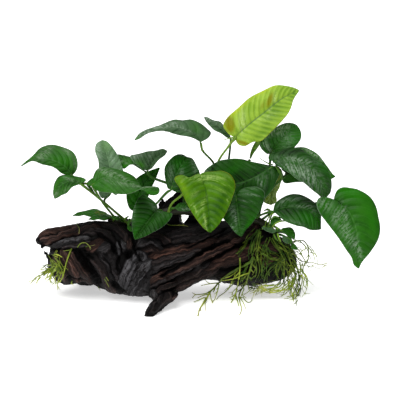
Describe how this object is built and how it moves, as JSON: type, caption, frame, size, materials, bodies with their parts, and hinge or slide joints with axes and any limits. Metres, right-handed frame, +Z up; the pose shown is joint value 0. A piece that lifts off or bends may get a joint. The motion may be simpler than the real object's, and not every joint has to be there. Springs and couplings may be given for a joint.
{
  "type": "anubias on driftwood",
  "caption": "Aquarium plant with broad heart-shaped leaves on long stalks, creeping over a gnarled dark driftwood log with tufts of moss and hanging roots.",
  "frame": {"origin": "middle of the bounding box on the plane that the wood rests on", "axes": "+X along the log to the right end under the moss tuft, +Y away from the front side with the root sprays, +Z up"},
  "size_m": [0.3559, 0.1301, 0.2101],
  "materials": {
    "dark_driftwood": "damp, weathered",
    "stem_green": "satin plant skin",
    "leaf_green": "glossy leaf",
    "young_leaf_green": "glossy leaf",
    "moss_green": "fibrous"
  },
  "bodies": {
    "root": {"driftwood_trunk": "dark_driftwood", "driftwood_left_limb": "dark_driftwood", "driftwood_front_stub": "dark_driftwood", "driftwood_back_branch": "dark_driftwood", "rhizome_left": "stem_green", "rhizome_middle": "stem_green", "rhizome_right": "stem_green", "leaf_far_left": "leaf_green", "leaf_left_low": "leaf_green", "leaf_left_edge": "leaf_green", "leaf_left_upright": "leaf_green", "leaf_left_broad": "leaf_green", "leaf_left_arched": "leaf_green", "leaf_left_fan": "leaf_green", "leaf_left_shaded": "leaf_green", "leaf_over_wood": "leaf_green", "leaf_over_wood_low": "leaf_green", "leaf_crown_left": "leaf_green", "leaf_crown_left_tip": "leaf_green", "leaf_middle_round": "leaf_green", "leaf_middle_shaded": "leaf_green", "leaf_front_left": "leaf_green", "leaf_front_light": "young_leaf_green", "leaf_front_dark": "leaf_green", "leaf_back_broad": "leaf_green", "leaf_back_upper": "leaf_green", "leaf_top_yellow": "young_leaf_green", "leaf_top_narrow": "leaf_green", "leaf_top_left": "leaf_green", "leaf_rolled": "young_leaf_green", "leaf_right_arched": "leaf_green", "leaf_right_behind": "leaf_green", "leaf_right_hanging": "leaf_green", "leaf_right_low": "leaf_green", "leaf_far_right": "leaf_green", "leaf_small_right": "leaf_green", "leaf_small_middle": "leaf_green", "leaf_small_grey": "leaf_green", "leaf_small_low": "leaf_green", "leaf_small_upright": "leaf_green", "moss_right": "moss_green", "moss_left": "moss_green", "roots_front_left": "moss_green", "roots_front_right": "moss_green"}
  },
  "joints": []
}
